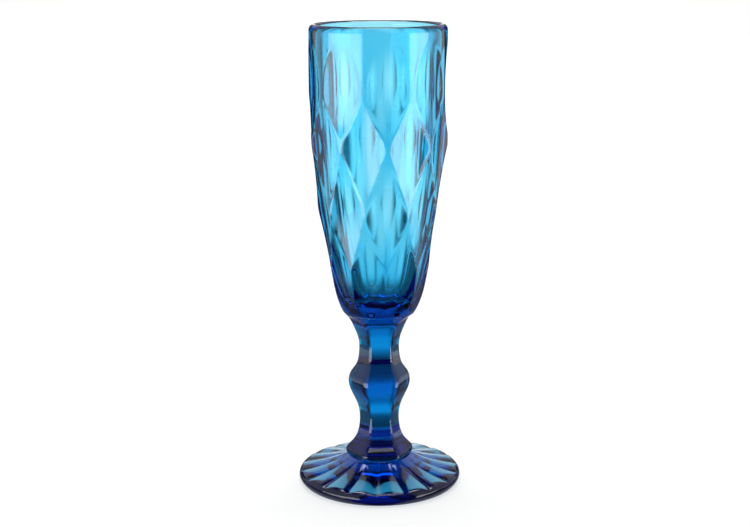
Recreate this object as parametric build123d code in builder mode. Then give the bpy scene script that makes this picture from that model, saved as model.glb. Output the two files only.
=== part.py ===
"""Champagne flute of pressed blue glass: a faceted bowl, a six-sided stem with a knop, and a fluted foot.

Millimetres, +Z up. The origin is on the table under the middle of the foot, and -Y is the front.
The three pieces are formed hot in their own mould parts and fused face to face.
"""

import os
from math import cos, radians, sin

from build123d import *

# Overall sizes
HEIGHT = 200.0
FOOT_RADIUS = 35.5
RIM_RADIUS = 29.25
RIM_WALL = 3.3
LIP_HEIGHT = 3.0  # the outside of the lip is rounded over this height
LIP_BAND = 4.0  # the glass stands upright from this far below the top
CLEARANCE = 2.0  # how far cutters pass beyond the glass they cut

# Fusion faces: height and round radius
FOOT_JOINT_Z = 12.2
FOOT_JOINT_RADIUS = 13.5
BOWL_JOINT_Z = 77.0
BOWL_JOINT_RADIUS = 15.7

# Bowl: nine columns of facets in staggered rows, tall panels at the rim and diamonds below. Their
# corners sit on rings. A facet is hollowed between its upper and lower corners, and from side to side.
COLUMNS = 9
PITCH = 360 / COLUMNS
EVEN_COLUMN = -90 + 7.5  # polar angle of a column with corners on the rim, waist and base rings
ODD_COLUMN = EVEN_COLUMN - PITCH / 2  # and of one with corners on the shoulder and hip rings
RIM_RING = (30.0, 198.5)  # radius and height of each ring of corners
SHOULDER_RING = (30.05, 177.5)
WAIST_RING = (29.6, 151.5)
HIP_RING = (26.05, 121.5)
BASE_RING = (21.3, 95.5)
BASE_TAPER = [(18.25, 87.0), (16.75, 80.5), (16.0, BOWL_JOINT_Z)]  # facets fade out down here
BASE_CURVE = (17.4, 80.5)  # the blank there
TAIL = (19.3, 81.5)  # the cutters of the even columns leave the blank between the base ring and here
MIDDLE_RATIO = 0.92  # distance of a facet's middle from the axis over that of its side corners
HOLLOW_AXIS = 124.0  # distance from the bowl's axis to the one a facet's side-to-side hollow turns about
CUT_SPREAD = 18.0  # angle a facet cutter sweeps about that axis
CUT_REACH = 46.0  # radius the cutters run out to
RUN_OUT = 9.0  # how far an odd column's cutter goes on past the shoulder ring
SKIN = 0.35  # extra radius of the blank over the rings

# Inside of the bowl: smooth, radius and height
CAVITY_FLOOR_Z = 81.0
CAVITY = [(9.6, 82.0), (13.4, 86.5), (16.9, 97.0), (20.9, 114.0), (23.9, 137.0), (25.4, 162.0)]

# Stem: round envelope as radius and height, cut by six flats that run through the knop
STEM_SIDES = 6
STEM_TURN = -90 + 4.8  # polar angle of one flat
FLAT_RATIO = 0.905  # distance of a flat from the axis over the envelope's radius there
COLLAR = [(14.5, 13.1), (14.7, 14.4), (13.3, 16.6)]
LOWER_NECK = [(11.55, 18.4), (9.4, 22.6), (8.6, 28.8), (9.15, 33.7), (10.7, 37.8)]
KNOP = [(12.6, 41.9), (13.45, 46.2), (12.2, 50.1)]
UPPER_NECK = [(10.2, 52.9), (8.98, 57.0), (8.7, 60.8), (9.2, 65.1), (10.7, 69.3), (13.0, 73.8)]
FADE = 0.5  # the flats leave the envelope this far outside it at the bowl

# Foot: hollow underside, rounded edge and fluted top
FLUTES = 18
FLUTE_TURN = -90 - 2.7  # polar angle of one valley
VALLEY_DEPTH = 1.0  # at the edge band; it fades to nothing at the stem
VALLEY_STEEPNESS = 0.24
VALLEY_REACH = 5.6
VALLEY_RUN_OUT = 5.0  # how far a valley's cutter goes on past the edge band
SLOPE = [(18.0, 10.1), (22.0, 8.7), (26.5, 7.55)]
BAND = (32.2, 6.4)  # where the slope turns down into the edge band
BAND_SHOULDER = (34.7, 5.1)
EDGE_Z = 3.0
TOE = (34.4, 0.75)
TOE_DIRECTION = (-1, -0.2)  # of the edge where it meets the resting face
REST_OUTER_RADIUS = 33.4
REST_INNER_RADIUS = 28.5
HOLLOW_DEPTH = 2.0


def side_middle(ring):
    """The middle of a facet whose side corners are on this ring."""
    return (MIDDLE_RATIO * ring[0], ring[1])


# Where the cutters end beyond the glass
above_rim = HEIGHT + CLEARANCE
below_bowl = BOWL_JOINT_Z - CLEARANCE
below_stem = FOOT_JOINT_Z - CLEARANCE
above_foot = FOOT_JOINT_Z + CLEARANCE

# Bowl: the outline of what is cut away in each kind of column, as radius and height
with BuildSketch() as even_outline:
    with BuildLine():
        ThreePointArc(RIM_RING, side_middle(SHOULDER_RING), WAIST_RING)
        ThreePointArc(WAIST_RING, side_middle(HIP_RING), BASE_RING)
        Polyline(
            BASE_RING,
            TAIL,
            (CUT_REACH, TAIL[1]),
            (CUT_REACH, above_rim),
            (RIM_RING[0] + SKIN, above_rim),
            RIM_RING,
        )
    make_face()
with BuildSketch() as odd_outline:
    with BuildLine():
        low = Spline(*reversed(BASE_TAPER), side_middle(BASE_RING), HIP_RING)
        high = ThreePointArc(low @ 1, side_middle(WAIST_RING), SHOULDER_RING)
        leave = Line(high @ 1, high @ 1 + RUN_OUT * (high % 1))
        Polyline(
            leave @ 1,
            (CUT_REACH, SHOULDER_RING[1] + RUN_OUT),
            (CUT_REACH, below_bowl),
            (BASE_TAPER[-1][0], below_bowl),
            low @ 0,
        )
    make_face()

half_spread = radians(CUT_SPREAD / 2)
cut_start = Plane(
    origin=(HOLLOW_AXIS, 0, 0),
    x_dir=(-cos(half_spread), sin(half_spread), 0),
    z_dir=(sin(half_spread), cos(half_spread), 0),
)
hollow_axis = Axis((HOLLOW_AXIS, 0, 0), (0, 0, 1))
with BuildPart() as even_cutter:
    with BuildSketch(cut_start):
        with Locations((HOLLOW_AXIS, 0)):
            add(even_outline.sketch.mirror(Plane.YZ))
    revolve(axis=hollow_axis, revolution_arc=CUT_SPREAD)
with BuildPart() as odd_cutter:
    with BuildSketch(cut_start):
        with Locations((HOLLOW_AXIS, 0)):
            add(odd_outline.sketch.mirror(Plane.YZ))
    revolve(axis=hollow_axis, revolution_arc=CUT_SPREAD)

lip = RIM_WALL / 2
with BuildPart() as bowl:
    with BuildSketch(Plane.XZ):
        with BuildLine():
            flare = Spline(
                (BOWL_JOINT_RADIUS, BOWL_JOINT_Z),
                BASE_CURVE,
                (BASE_RING[0] + SKIN, BASE_RING[1]),
                (HIP_RING[0] + SKIN, HIP_RING[1]),
                (WAIST_RING[0] + SKIN, WAIST_RING[1]),
                (SHOULDER_RING[0] + SKIN, SHOULDER_RING[1]),
                (RIM_RADIUS, HEIGHT - LIP_BAND),
            )
            side = Line(flare @ 1, (RIM_RADIUS, HEIGHT - LIP_HEIGHT))
            EllipticalCenterArc(
                (RIM_RADIUS - lip, HEIGHT - LIP_HEIGHT),
                x_radius=lip,
                y_radius=LIP_HEIGHT,
                arc_size=90,
            )
            top = CenterArc((RIM_RADIUS - lip, HEIGHT - lip), lip, 90, 90)
            inside = Spline(
                top @ 1,
                *reversed(CAVITY),
                (0, CAVITY_FLOOR_Z),
                tangents=((0, -1), (-1, 0)),
            )
            Polyline(inside @ 1, (0, BOWL_JOINT_Z), flare @ 0)
        make_face()
    revolve(axis=Axis.Z)
    with PolarLocations(0, COLUMNS, start_angle=EVEN_COLUMN):
        add(even_cutter.part, mode=Mode.SUBTRACT)
    with PolarLocations(0, COLUMNS, start_angle=ODD_COLUMN):
        add(odd_cutter.part, mode=Mode.SUBTRACT)
bowl.part.label = "bowl"

# Stem
with BuildPart() as flat_cutter:
    with BuildSketch(Plane.XZ):
        with BuildLine():
            flat = Spline(
                *[(FLAT_RATIO * radius, z) for radius, z in [*COLLAR, *LOWER_NECK, *KNOP, *UPPER_NECK]],
                (BOWL_JOINT_RADIUS + FADE, BOWL_JOINT_Z),
            )
            Polyline(
                flat @ 1,
                (CUT_REACH, BOWL_JOINT_Z),
                (CUT_REACH, below_stem),
                (FLAT_RATIO * COLLAR[0][0], below_stem),
                flat @ 0,
            )
        make_face()
    extrude(amount=BOWL_JOINT_RADIUS + CLEARANCE, both=True)

with BuildPart() as stem:
    with BuildSketch(Plane.XZ):
        with BuildLine():
            side = Spline(
                (FOOT_JOINT_RADIUS, FOOT_JOINT_Z),
                *COLLAR,
                *LOWER_NECK,
                *KNOP,
                *UPPER_NECK,
                (BOWL_JOINT_RADIUS, BOWL_JOINT_Z),
            )
            Polyline(side @ 1, (0, BOWL_JOINT_Z), (0, FOOT_JOINT_Z), side @ 0)
        make_face()
    revolve(axis=Axis.Z)
    with PolarLocations(0, STEM_SIDES, start_angle=STEM_TURN):
        add(flat_cutter.part, mode=Mode.SUBTRACT)
stem.part.label = "stem"

# Foot
slope_points = [(FOOT_JOINT_RADIUS, FOOT_JOINT_Z), *SLOPE, BAND]
valley_length = BAND[0] - FOOT_JOINT_RADIUS
valley_points = [(x, z - VALLEY_DEPTH * (x - FOOT_JOINT_RADIUS) / valley_length) for x, z in slope_points]
with BuildPart() as flute_cutter:
    with BuildSketch(Plane.XZ) as valley:
        with BuildLine():
            floor_line = Spline(*valley_points)
            Polyline(
                floor_line @ 1,
                floor_line @ 1 + VALLEY_RUN_OUT * (floor_line % 1),
                (CUT_REACH, above_foot),
                (FOOT_JOINT_RADIUS, above_foot),
                floor_line @ 0,
            )
        make_face()
    extrude(valley.sketch, amount=VALLEY_REACH, dir=(0, 1, VALLEY_STEEPNESS))
    extrude(valley.sketch, amount=VALLEY_REACH, dir=(0, -1, VALLEY_STEEPNESS))

with BuildPart() as foot:
    with BuildSketch(Plane.XZ):
        with BuildLine():
            slope = Spline(*slope_points)
            edge = Spline(
                slope @ 1,
                BAND_SHOULDER,
                (FOOT_RADIUS, EDGE_Z),
                TOE,
                (REST_OUTER_RADIUS, 0),
                tangents=(slope % 1, TOE_DIRECTION),
            )
            Line(edge @ 1, (REST_INNER_RADIUS, 0))
            TangentArc((0, HOLLOW_DEPTH), (REST_INNER_RADIUS, 0), tangent=(1, 0))
            Polyline((0, HOLLOW_DEPTH), (0, FOOT_JOINT_Z), slope @ 0)
        make_face()
    revolve(axis=Axis.Z)
    with PolarLocations(0, FLUTES, start_angle=FLUTE_TURN):
        add(flute_cutter.part, mode=Mode.SUBTRACT)
foot.part.label = "foot"

os.makedirs("parts", exist_ok=True)
export_step(foot.part, "parts/foot.step")
export_step(stem.part, "parts/stem.step")
export_step(bowl.part, "parts/bowl.step")
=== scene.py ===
"""Blue pressed-glass champagne flute, seen from the front in a bright-field studio.

The bowl, stem and foot are closed glass meshes that follow the CAD part. The outside of the bowl is
up to 1 mm away from it: see make_bowl, and smooth_curve is not the spline that the part uses.
Shape values are in millimetres and are scaled once, when a mesh is made. The studio is in metres.
"""

from math import cos, pi, radians, sin

import bpy
import numpy as np
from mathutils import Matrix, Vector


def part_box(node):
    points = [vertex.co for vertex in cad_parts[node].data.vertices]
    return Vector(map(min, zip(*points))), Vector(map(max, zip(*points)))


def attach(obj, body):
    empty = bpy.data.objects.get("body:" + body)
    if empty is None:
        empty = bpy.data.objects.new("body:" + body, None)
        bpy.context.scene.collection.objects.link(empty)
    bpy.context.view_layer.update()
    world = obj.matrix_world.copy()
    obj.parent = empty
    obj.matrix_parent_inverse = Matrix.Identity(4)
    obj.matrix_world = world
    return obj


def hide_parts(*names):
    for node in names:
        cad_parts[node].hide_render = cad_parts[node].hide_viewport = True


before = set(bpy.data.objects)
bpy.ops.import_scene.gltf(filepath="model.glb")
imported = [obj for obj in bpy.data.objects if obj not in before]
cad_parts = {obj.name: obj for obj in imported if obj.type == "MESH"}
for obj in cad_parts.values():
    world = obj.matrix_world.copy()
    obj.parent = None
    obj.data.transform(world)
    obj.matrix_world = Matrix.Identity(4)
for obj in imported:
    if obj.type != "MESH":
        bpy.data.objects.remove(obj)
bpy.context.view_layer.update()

MM = 0.001
FRONT = -pi / 2  # polar angle of the front, -Y

# Sizes in millimetres. Most are the CAD part's own, but the rings of the bowl, TAIL_STEEPNESS,
# HOLLOW_RADIUS and TOE_DIRECTION only come near it. A ring or curve point is a radius and a height.
BOWL_LOW, BOWL_HIGH = (1000 * corner.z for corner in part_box("bowl"))
STEM_LOW = 1000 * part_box("stem")[0].z
HEIGHT = BOWL_HIGH
RIM_RADIUS = 29.25
RIM_WALL = 3.3
LIP_HEIGHT = 3.0
LIP_BAND = 4.0  # the blank stands upright from this far below the top
BOWL_JOINT_RADIUS = 15.7
FOOT_JOINT_RADIUS = 13.5
COLUMNS = 9
EVEN_COLUMN = FRONT + radians(7.5)
RIM_RING = (30.1, 198.5)
SHOULDER_RING = (30.15, 177.5)
WAIST_RING = (29.75, 151.5)
HIP_RING = (26.2, 121.5)
BASE_RING = (21.5, 95.5)
BASE_TAPER = [(18.25, 87.0), (16.75, 80.5), (16.0, BOWL_LOW)]
BASE_CURVE = (17.4, 80.5)
TAIL_STEEPNESS = 7.0  # rise over run of the even columns below the base ring
MIDDLE_RATIO = 0.92  # a facet's middle over the corners at its sides
HOLLOW_RADIUS = 95.0  # of a facet's curve from side to side
SKIN = 0.35  # extra radius of the blank over the rings
CAVITY_FLOOR = 81.0
CAVITY = [(9.6, 82.0), (13.4, 86.5), (16.9, 97.0), (20.9, 114.0), (23.9, 137.0), (25.4, 162.0)]
STEM_SIDES = 6
STEM_TURN = FRONT + radians(4.8)
FLAT_RATIO = 0.905
COLLAR = [(14.5, 13.1), (14.7, 14.4), (13.3, 16.6)]
LOWER_NECK = [(11.55, 18.4), (9.4, 22.6), (8.6, 28.8), (9.15, 33.7), (10.7, 37.8)]
KNOP = [(12.6, 41.9), (13.45, 46.2), (12.2, 50.1)]
UPPER_NECK = [(10.2, 52.9), (8.98, 57.0), (8.7, 60.8), (9.2, 65.1), (10.7, 69.3), (13.0, 73.8)]
FADE = 0.5  # the flats leave the envelope this far outside it at the bowl
FLUTES = 18
FLUTE_TURN = FRONT - radians(2.7)
VALLEY_DEPTH = 1.0
SLOPE = [(18.0, 10.1), (22.0, 8.7), (26.5, 7.55)]
BAND = (32.2, 6.4)
BAND_SHOULDER = (34.7, 5.1)
FOOT_RADIUS = 35.5
EDGE_Z = 3.0
TOE = (34.4, 0.75)
TOE_DIRECTION = (-0.98, -0.2)
VALLEY_RUN_OUT = 5.0
REST_OUTER_RADIUS = 33.4
REST_INNER_RADIUS = 28.5
HOLLOW_DEPTH = 2.0

# The plain band under the rim, which only the visual model has: the height of its scalloped lower
# edge, the size of the scallops, and how far it blends into the facets
BAND_LOW = 196.6
BAND_WAVE = 0.9
BAND_BLEND = 3.2

# Rounding of the edges
SOFT_EDGE = 0.16  # the bowl's pressed ridges
BAND_EDGE = 0.05
STEM_EDGE = 0.15
VALLEY_EDGE = 0.06

# How finely each curve and surface is divided
AROUND = 360  # points round each ring
ANGLE = np.arange(AROUND) * 2 * pi / AROUND
GAP = 0.01  # half the gap left between two pieces at a fusion face
FACE_SHARES = (0.5, 0.97)  # rings that fill a fusion face, over its radius
TIP_RADIUS = 0.05  # of the innermost ring of the bowl's floor
LEAST_COSINE = 0.05  # keeps a flat's radius finite where it turns away
BLANK_POINTS = 400
ODD_POINTS = 200
STEM_POINTS = 600
FOOT_POINTS = 200
SIDE_RINGS = 158
SIDE_END = 6.0  # below this far under the top the bowl's rings are evenly spaced
BAND_RINGS = 12
LIP_RINGS = 18
LIP_TOP_RINGS = 8
INSIDE_RINGS = 41
STEM_RINGS = 130
RUN_OUT_START = 0.2
RUN_OUT_POINTS = 20
HOLLOW_START = 0.6  # radius of the innermost ring of the foot's hollow
HOLLOW_RINGS = 30
REST_RINGS = 6
UNDER_RINGS = 22
OVER_RINGS = 30
SLOPE_STEP = 3


# ---------------------------------------------------------------- shapes

def smooth_curve(points, count, start=None, end=None):
    """Points along a chord-length cubic spline through (radius, height) points."""
    p = np.array(points, float)
    t = np.concatenate([[0], np.cumsum(np.hypot(*np.diff(p, axis=0).T))])
    n = len(p)
    system = np.zeros((n, n))
    right = np.zeros((n, 2))
    for i in range(1, n - 1):
        before, after = t[i] - t[i - 1], t[i + 1] - t[i]
        system[i, i - 1 : i + 2] = after, 2 * (before + after), before
        right[i] = 3 * (
            after * (p[i] - p[i - 1]) / before + before * (p[i + 1] - p[i]) / after
        )
    if start is None:
        system[0, :2] = 2, 1
        right[0] = 3 * (p[1] - p[0]) / (t[1] - t[0])
    else:
        system[0, 0] = 1
        right[0] = start
    if end is None:
        system[-1, -2:] = 1, 2
        right[-1] = 3 * (p[-1] - p[-2]) / (t[-1] - t[-2])
    else:
        system[-1, -1] = 1
        right[-1] = end
    slope = np.linalg.solve(system, right)
    at = np.linspace(0, t[-1], count)
    k = np.clip(np.searchsorted(t, at, side="right") - 1, 0, n - 2)
    width = (t[k + 1] - t[k])[:, None]
    s = ((at - t[k])[:, None]) / width
    a = p[k] * (1 + 2 * s) * (1 - s) ** 2 + p[k + 1] * s**2 * (3 - 2 * s)
    return a + width * (slope[k] * s * (1 - s) ** 2 + slope[k + 1] * s**2 * (s - 1))


def radius_of(curve, z):
    """Radius of a curve that rises all the way, at heights z."""
    return np.interp(z, curve[:, 1], curve[:, 0])


def arc_radius(z, low, middle, high):
    """Radius at heights z on the parabola through three (radius, height) points."""
    (a, u), (b, v), (c, w) = low, middle, high
    return (
        a * (z - v) * (z - w) / ((u - v) * (u - w))
        + b * (z - u) * (z - w) / ((v - u) * (v - w))
        + c * (z - u) * (z - v) / ((w - u) * (w - v))
    )


def soft_min(values, width):
    """The smallest of several surfaces, with the edges between them rounded."""
    values = np.stack(values)
    least = values.min(axis=0)
    return least - width * np.log(np.exp(-(values - least) / width).sum(axis=0))


def side_middle(ring):
    """The middle of a facet whose side corners are on this ring."""
    return (MIDDLE_RATIO * ring[0], ring[1])


def even_profile(z):
    """Middle line of a column with corners on the rim, waist and base rings."""
    upper = arc_radius(z, WAIST_RING, side_middle(SHOULDER_RING), RIM_RING)
    lower = arc_radius(z, BASE_RING, side_middle(HIP_RING), WAIST_RING)
    below = BASE_RING[0] + (z - BASE_RING[1]) / TAIL_STEEPNESS
    return np.where(z > WAIST_RING[1], upper, np.where(z > BASE_RING[1], lower, below))


def odd_profile(z):
    """Middle line of a column with corners on the shoulder and hip rings. It ends at the shoulder."""
    upper = arc_radius(z, HIP_RING, side_middle(WAIST_RING), SHOULDER_RING)
    low = smooth_curve([*reversed(BASE_TAPER), side_middle(BASE_RING), HIP_RING], ODD_POINTS)
    lower = radius_of(low, z)
    return np.where(z > HIP_RING[1], upper, lower)


def facet(profile, turn):
    """Radius of a facet that is slightly hollow from side to side, at angles turn from its middle."""
    root = np.cos(turn) ** 2 - 2 * profile * np.sin(turn) ** 2 / HOLLOW_RADIUS
    return 2 * profile / (np.cos(turn) + np.sqrt(np.maximum(root, 0)))


def nearest_turn(angle, first, count):
    """Angle from the nearest of count evenly spaced directions, the first at angle first."""
    pitch = 2 * pi / count
    return (angle - first + pitch / 2) % pitch - pitch / 2


BLANK = smooth_curve(
    [
        (BOWL_JOINT_RADIUS, BOWL_LOW),
        BASE_CURVE,
        (BASE_RING[0] + SKIN, BASE_RING[1]),
        (HIP_RING[0] + SKIN, HIP_RING[1]),
        (WAIST_RING[0] + SKIN, WAIST_RING[1]),
        (SHOULDER_RING[0] + SKIN, SHOULDER_RING[1]),
        (RIM_RADIUS, HEIGHT - LIP_BAND),
        (RIM_RADIUS, HEIGHT),
    ],
    BLANK_POINTS,
)


def bowl_radius(z):
    """Outer radius of the bowl at height z, all the way round."""
    even = nearest_turn(ANGLE, EVEN_COLUMN, COLUMNS)
    odd = nearest_turn(ANGLE, EVEN_COLUMN - pi / COLUMNS, COLUMNS)
    surfaces = [radius_of(BLANK, z) + 0 * ANGLE]
    for step in (-2 * pi / COLUMNS, 0, 2 * pi / COLUMNS):
        surfaces.append(facet(even_profile(z), even + step))
        surfaces.append(facet(odd_profile(z), odd + step))
    return soft_min(surfaces, SOFT_EDGE)


def rings_mesh(name, rings, caps):
    """A closed mesh from rings of (radius at each angle, height), with a point on the axis at each end.

    caps holds the numbers of the bands of faces that are fusion faces, and "first" or "last" for the
    fans at the ends."""
    verts = [[0, 0, np.mean(rings[0][1])]]
    for radius, z in rings:
        verts += np.stack([radius * np.cos(ANGLE), radius * np.sin(ANGLE), z + 0 * ANGLE], 1).tolist()
    verts.append([0, 0, np.mean(rings[-1][1])])
    faces = []
    flags = []
    last = len(verts) - 1
    nxt = [(i + 1) % AROUND for i in range(AROUND)]
    for i in range(AROUND):
        faces.append((0, 1 + nxt[i], 1 + i))
        flags.append("first" in caps)
    for k in range(len(rings) - 1):
        base = 1 + k * AROUND
        for i in range(AROUND):
            j = nxt[i]
            faces.append((base + i, base + j, base + AROUND + j, base + AROUND + i))
            flags.append(k in caps)
    base = 1 + (len(rings) - 1) * AROUND
    for i in range(AROUND):
        faces.append((base + i, base + nxt[i], last))
        flags.append("last" in caps)
    mesh = bpy.data.meshes.new(name)
    mesh.from_pydata((np.array(verts) * MM).tolist(), [], faces)
    mesh.update()
    mesh.polygons.foreach_set("use_smooth", [True] * len(faces))
    fused = mesh.attributes.new("fused", "FLOAT", "FACE")
    fused.data.foreach_set("value", [float(f) for f in flags])
    piece = bpy.data.objects.new(name, mesh)
    bpy.context.scene.collection.objects.link(piece)
    return piece


def make_bowl():
    """The bowl: up the outside, over the lip and down the inside to the middle of the floor."""
    rings = []
    low = BOWL_LOW + GAP
    for share in FACE_SHARES:
        rings.append((BOWL_JOINT_RADIUS * share + 0 * ANGLE, low))
    caps = {"first", 0, 1}
    lip = RIM_WALL / 2
    middle = RIM_RADIUS - lip
    scallop = BAND_LOW + BAND_WAVE * np.cos(COLUMNS * (ANGLE - EVEN_COLUMN) + pi)
    shoulder = HEIGHT - LIP_HEIGHT
    side_end = HEIGHT - SIDE_END
    heights = np.linspace(low, side_end, SIDE_RINGS, endpoint=False).tolist()
    heights += np.linspace(side_end, shoulder, BAND_RINGS).tolist()
    heights += (shoulder + LIP_HEIGHT * np.sin(np.linspace(0, pi / 2, LIP_RINGS)[1:])).tolist()
    for z in heights:
        rise = min(max((z - shoulder) / LIP_HEIGHT, 0), 1)
        band = middle + lip * (1 - rise**2) ** 0.5
        share = np.clip((z - scallop) / BAND_BLEND + 0.5, 0, 1)
        share = share * share * (3 - 2 * share)
        # This holds the whole outside to the band's radius, so the corners on the shoulder and waist
        # rings are cut back, by up to 1 mm.
        facets = soft_min([bowl_radius(min(z, shoulder)), band + 0 * ANGLE], BAND_EDGE)
        rings.append((facets + (band - facets) * share, z))
    for t in np.linspace(pi / 2, pi, LIP_TOP_RINGS)[1:-1]:
        rings.append((middle + lip * cos(t) + 0 * ANGLE, HEIGHT - lip * (1 - sin(t))))
    inside = smooth_curve(
        [(RIM_RADIUS - RIM_WALL, HEIGHT - lip), *reversed(CAVITY), (0.0, CAVITY_FLOOR)],
        INSIDE_RINGS,
        start=(0, -1),
        end=(-1, 0),
    )
    for radius, z in inside[:-1]:
        rings.append((max(radius, TIP_RADIUS) + 0 * ANGLE, z))
    return rings_mesh("bowl_glass", rings, caps)


def make_stem():
    """The stem, from the foot up: a round envelope cut by six flats."""
    points = [
        (FOOT_JOINT_RADIUS, STEM_LOW),
        *COLLAR,
        *LOWER_NECK,
        *KNOP,
        *UPPER_NECK,
        (BOWL_JOINT_RADIUS, BOWL_LOW),
    ]
    side = smooth_curve(points, STEM_POINTS)
    flats = [(FLAT_RATIO * r, z) for r, z in points[1:-1]] + [(BOWL_JOINT_RADIUS + FADE, BOWL_LOW)]
    flat = smooth_curve(flats, STEM_POINTS)
    turn = nearest_turn(ANGLE, STEM_TURN, STEM_SIDES)
    low, high = STEM_LOW + GAP, BOWL_LOW - GAP
    rings = []
    for share in FACE_SHARES:
        rings.append((FOOT_JOINT_RADIUS * FLAT_RATIO * share + 0 * ANGLE, low))
    for z in np.linspace(low, high, STEM_RINGS):
        plane = np.interp(z, flat[:, 1], flat[:, 0])
        envelope = np.interp(z, side[:, 1], side[:, 0])
        surfaces = [envelope + 0 * ANGLE]
        for step in (-2 * pi / STEM_SIDES, 0, 2 * pi / STEM_SIDES):
            surfaces.append(plane / np.maximum(np.cos(turn + step), LEAST_COSINE))
        rings.append((soft_min(surfaces, STEM_EDGE), z))
    last = len(rings) - 1
    for share in reversed(FACE_SHARES):
        rings.append((BOWL_JOINT_RADIUS * share + 0 * ANGLE, high))
    return rings_mesh("stem_glass", rings, {"first", 0, 1, last, last + 1, "last"})


def make_foot():
    """The foot: out along the hollow and the resting face, round the edge, and in over the flutes."""
    slope_points = [(FOOT_JOINT_RADIUS, STEM_LOW), *SLOPE, BAND]
    slope = smooth_curve(slope_points, FOOT_POINTS)
    tangent = slope[-1] - slope[-2]
    tangent = tangent / np.hypot(*tangent)
    edge = smooth_curve(
        [BAND, BAND_SHOULDER, (FOOT_RADIUS, EDGE_Z), TOE, (REST_OUTER_RADIUS, 0.0)],
        FOOT_POINTS,
        start=tangent,
        end=TOE_DIRECTION,
    )
    widest = int(edge[:, 0].argmax())
    beyond = slope[-1] + np.outer(np.linspace(RUN_OUT_START, VALLEY_RUN_OUT, RUN_OUT_POINTS), tangent)
    run = np.concatenate([slope, beyond])
    half_flute = pi / FLUTES
    turn = np.abs(nearest_turn(ANGLE, FLUTE_TURN + half_flute, FLUTES)) / half_flute
    high = STEM_LOW - GAP
    rings = []
    bend = (REST_INNER_RADIUS**2 + HOLLOW_DEPTH**2) / (2 * HOLLOW_DEPTH)
    for r in np.linspace(HOLLOW_START, REST_INNER_RADIUS, HOLLOW_RINGS):
        sag = bend - (bend**2 - r**2) ** 0.5
        rings.append((r + 0 * ANGLE, HOLLOW_DEPTH - sag + 0 * ANGLE))
    for r in np.linspace(REST_INNER_RADIUS, REST_OUTER_RADIUS, REST_RINGS)[1:-1]:
        rings.append((r + 0 * ANGLE, 0 * ANGLE))
    under = edge[widest:][::-1]
    for r, z in under[:: max(1, len(under) // UNDER_RINGS)]:
        rings.append((r + 0 * ANGLE, z + 0 * ANGLE))
    over = edge[:widest][::-1]
    top = np.concatenate([over[:: max(1, len(over) // OVER_RINGS)], slope[::-1][1::SLOPE_STEP]])
    for r, z in top:
        depth = VALLEY_DEPTH * (r - FOOT_JOINT_RADIUS) / (BAND[0] - FOOT_JOINT_RADIUS)
        cut = np.interp(r, run[:, 0], run[:, 1]) - depth * turn**2
        rings.append((r + 0 * ANGLE, soft_min([z + 0 * ANGLE, cut], VALLEY_EDGE)))
    rings.append((FOOT_JOINT_RADIUS + 0 * ANGLE, high + 0 * ANGLE))
    last = len(rings) - 1
    for share in reversed(FACE_SHARES):
        rings.append((FOOT_JOINT_RADIUS * share + 0 * ANGLE, high + 0 * ANGLE))
    return rings_mesh("foot_glass", rings, {last, last + 1, "last"})


# ---------------------------------------------------------------- glass

IOR = 1.52
FUSED_IOR = 1.0  # light crosses a fusion face without bending
TINT = (0.0, 0.757, 0.915, 1)
TINT_DENSITY = 400.0  # per metre


def make_glass():
    """Clear coloured glass that absorbs through its thickness."""
    material = bpy.data.materials.new("blue_glass")
    material.use_nodes = True
    nodes = material.node_tree.nodes
    links = material.node_tree.links
    shader = nodes["Principled BSDF"]
    shader.inputs["Base Color"].default_value = (1, 1, 1, 1)
    shader.inputs["Roughness"].default_value = 0.0
    shader.inputs["Transmission Weight"].default_value = 1.0
    shader.inputs["IOR"].default_value = IOR
    fused = nodes.new("ShaderNodeAttribute")
    fused.attribute_name = "fused"
    ior = nodes.new("ShaderNodeMapRange")
    ior.inputs["To Min"].default_value = IOR
    ior.inputs["To Max"].default_value = FUSED_IOR
    links.new(fused.outputs["Fac"], ior.inputs["Value"])
    links.new(ior.outputs["Result"], shader.inputs["IOR"])
    tint = nodes.new("ShaderNodeVolumeAbsorption")
    tint.inputs["Color"].default_value = TINT
    tint.inputs["Density"].default_value = TINT_DENSITY
    links.new(tint.outputs["Volume"], nodes["Material Output"].inputs["Volume"])
    return material


glass = make_glass()
for make, node in ((make_bowl, "bowl"), (make_stem, "stem"), (make_foot, "foot")):
    piece = make()
    piece.data.materials.append(glass)
    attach(piece, "root")
    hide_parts(node)


# ---------------------------------------------------------------- studio

def add_math(tree, operation, *values, clamp=False):
    """A Math node fed with numbers or sockets. Returns its output."""
    node = tree.nodes.new("ShaderNodeMath")
    node.operation = operation
    node.use_clamp = clamp
    for socket, value in zip(node.inputs, values):
        if isinstance(value, (int, float)):
            socket.default_value = value
        else:
            tree.links.new(value, socket)
    return node.outputs["Value"]


def add_ramp(tree, value, start, end, low=0.0, high=1.0):
    """A smooth step from low to high as value goes from start to end."""
    node = tree.nodes.new("ShaderNodeMapRange")
    node.interpolation_type = "SMOOTHSTEP"
    tree.links.new(value, node.inputs["Value"])
    node.inputs["From Min"].default_value = start
    node.inputs["From Max"].default_value = end
    node.inputs["To Min"].default_value = low
    node.inputs["To Max"].default_value = high
    return node.outputs["Result"]


# Light panels round the glass: azimuth of the middle from the back wall (+Y) turning to the right, half
# width, lowest and highest elevation, edge softness, all in degrees, then brightness
PANELS = [
    (0, 16, -30, 12, 9, 1.25),
    (0, 45, 14, 50, 5, 0.8),
    (180, 50, 62, 84, 4, 2.5),
    (-122, 31, -23, 4, 2, 4.4),
    (-68, 23, -23, 4, 4, 0.95),
    (-99, 50, 4, 55, 4, 0.6),
    (109, 19, -23, 4, 2, 4.4),
    (66, 24, -23, 4, 4, 1.05),
    (85, 43, 4, 55, 4, 0.6),
    (0, 80, 62, 95, 4, 6.0),
]
ROOM = 0.04  # brightness between the panels


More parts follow.
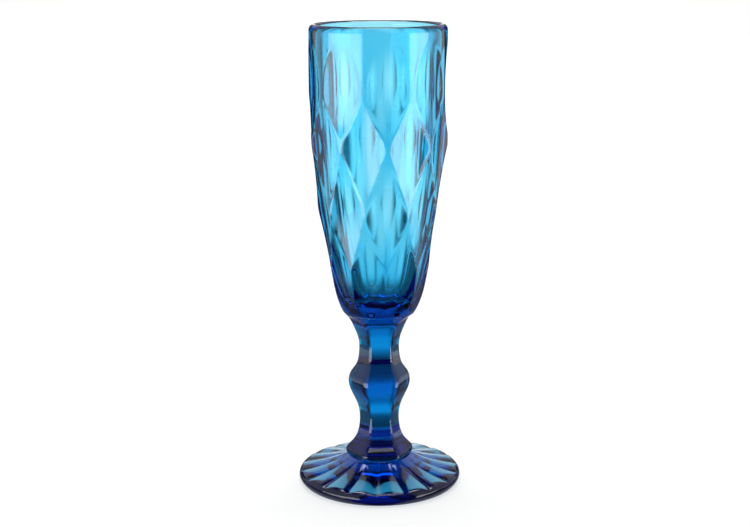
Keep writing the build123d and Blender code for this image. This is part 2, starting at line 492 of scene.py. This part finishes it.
def make_world():
    """Soft panels in a dark room. Rays straight from the camera see it plain white."""
    world = bpy.data.worlds.new("studio")
    bpy.context.scene.world = world
    world.use_nodes = True
    tree = world.node_tree
    way = tree.nodes.new("ShaderNodeTexCoord").outputs["Generated"]
    parts = tree.nodes.new("ShaderNodeSeparateXYZ")
    tree.links.new(way, parts.inputs["Vector"])
    x, y, z = parts.outputs
    azimuth = add_math(tree, "ARCTAN2", x, y)
    elevation = add_math(tree, "ARCSINE", z)
    total = None
    for middle, half, low, high, soft, bright in PANELS:
        off = add_math(tree, "SUBTRACT", azimuth, radians(middle))
        off = add_math(tree, "ABSOLUTE", add_math(tree, "WRAP", off, pi, -pi))
        across = add_ramp(tree, off, radians(half + soft), radians(half - soft))
        above = add_ramp(tree, elevation, radians(low - soft), radians(low + soft))
        below = add_ramp(tree, elevation, radians(high + soft), radians(high - soft))
        lit = add_math(tree, "MULTIPLY", across, add_math(tree, "MULTIPLY", above, below))
        lit = add_math(tree, "MULTIPLY", lit, bright)
        total = lit if total is None else add_math(tree, "MAXIMUM", total, lit)
    total = add_math(tree, "MAXIMUM", total, ROOM)
    seen = tree.nodes.new("ShaderNodeLightPath").outputs["Is Camera Ray"]
    total = add_math(tree, "MAXIMUM", total, seen)
    background = tree.nodes["Background"]
    background.inputs["Color"].default_value = (1, 1, 1, 1)
    tree.links.new(total, background.inputs["Strength"])


# The table that the glass sees, in metres from the middle of the foot
TABLE_ALBEDO = 0.18
TABLE_HALF_WIDTH = 0.20
TABLE_FRONT = -0.034
TABLE_BACK = 1.5
TABLE_DROP = 0.00008
SWEEP_START = 0.06  # the painted glow toward the back starts and is full this far behind the foot
SWEEP_END = 0.27
SWEEP_GLOW = 1.02
SWEEP_OUTER = radians(25)  # and it fades to nothing between these angles off the middle
SWEEP_INNER = radians(7)
POOL_RADIUS = 0.034  # round pool of painted light under the foot, where real glass would gather light
POOL_OUTER = 1.25 * POOL_RADIUS
POOL_INNER = 0.9 * POOL_RADIUS
POOL_GLOW = 0.55

# The paper that the camera sees
PAPER_ALBEDO = 0.42
PAPER_GLOW = 0.62
PAPER_REACH = 3.0
PAPER_DROP = 0.00004


def make_sheet(name, drop, half_width, front, back):
    """A level sheet of the stage, this far under the foot. Returns it and its material's node tree."""
    corners = [
        (-half_width, front, 0),
        (half_width, front, 0),
        (half_width, back, 0),
        (-half_width, back, 0),
    ]
    mesh = bpy.data.meshes.new(name)
    mesh.from_pydata(corners, [], [(0, 1, 2, 3)])
    sheet = bpy.data.objects.new(name, mesh)
    sheet.location.z = -drop
    bpy.context.scene.collection.objects.link(sheet)
    material = bpy.data.materials.new(name)
    material.use_nodes = True
    mesh.materials.append(material)
    return sheet, material.node_tree


def make_table():
    """The table as the glass sees it, hidden from the camera.

    It ends at the front of the foot. Its glow is painted light: a painted pool of light under the foot,
    where real glass gathers light, and a painted glow that brightens toward the back like a lit sweep."""
    table, tree = make_sheet("table", TABLE_DROP, TABLE_HALF_WIDTH, TABLE_FRONT, TABLE_BACK)
    shader = tree.nodes["Principled BSDF"]
    shader.inputs["Specular IOR Level"].default_value = 0.0
    shader.inputs["Roughness"].default_value = 1.0
    shader.inputs["Base Color"].default_value = (TABLE_ALBEDO, TABLE_ALBEDO, TABLE_ALBEDO, 1)
    place = tree.nodes.new("ShaderNodeTexCoord").outputs["Object"]
    parts = tree.nodes.new("ShaderNodeSeparateXYZ")
    tree.links.new(place, parts.inputs["Vector"])
    x, y, _ = parts.outputs
    off_middle = add_math(tree, "ABSOLUTE", add_math(tree, "ARCTAN2", x, y))
    # painted light: the table glows brighter toward the back, like a lit sweep, and fades off the
    # middle
    sweep = add_ramp(tree, y, SWEEP_START, SWEEP_END, 0.0, SWEEP_GLOW)
    sweep = add_math(tree, "MULTIPLY", sweep, add_ramp(tree, off_middle, SWEEP_OUTER, SWEEP_INNER))
    squares = [add_math(tree, "POWER", value, 2) for value in (x, y)]
    away = add_math(tree, "SQRT", add_math(tree, "ADD", *squares))
    # painted light: a round pool of glow under the foot, standing in for the light the glass gathers
    pool = add_ramp(tree, away, POOL_OUTER, POOL_INNER, 0.0, POOL_GLOW)
    tree.links.new(add_math(tree, "ADD", sweep, pool), shader.inputs["Emission Strength"])
    shader.inputs["Emission Color"].default_value = (1, 1, 1, 1)
    table.visible_camera = False


def make_paper():
    """What the camera sees of the table: plain white paper, hidden from the glass."""
    paper, tree = make_sheet("paper", PAPER_DROP, PAPER_REACH, -PAPER_REACH, PAPER_REACH)
    shader = tree.nodes["Principled BSDF"]
    shader.inputs["Base Color"].default_value = (PAPER_ALBEDO, PAPER_ALBEDO, PAPER_ALBEDO, 1)
    shader.inputs["Roughness"].default_value = 1.0
    shader.inputs["Specular IOR Level"].default_value = 0.0
    shader.inputs["Emission Color"].default_value = (1, 1, 1, 1)
    shader.inputs["Emission Strength"].default_value = PAPER_GLOW
    paper.visible_diffuse = False
    paper.visible_glossy = False
    paper.visible_transmission = False
    paper.visible_shadow = False


LENS = 70.4  # millimetres
SENSOR_WIDTH = 36.0
CAMERA_PLACE = (-0.0012, -0.6174, 0.2338)
CAMERA_DOWN = radians(12.43)
CAMERA_ROLL = radians(0.2)


def make_camera():
    data = bpy.data.cameras.new("camera")
    data.lens = LENS
    data.sensor_width = SENSOR_WIDTH
    camera = bpy.data.objects.new("camera", data)
    camera.location = CAMERA_PLACE
    camera.rotation_euler = (pi / 2 - CAMERA_DOWN, CAMERA_ROLL, 0)
    bpy.context.scene.collection.objects.link(camera)
    bpy.context.scene.camera = camera


make_table()
make_paper()
make_world()
make_camera()
scene = bpy.context.scene
scene.view_settings.view_transform = "Standard"
scene.cycles.max_bounces = 32
scene.cycles.transmission_bounces = 32
scene.cycles.glossy_bounces = 16
scene.cycles.caustics_refractive = True
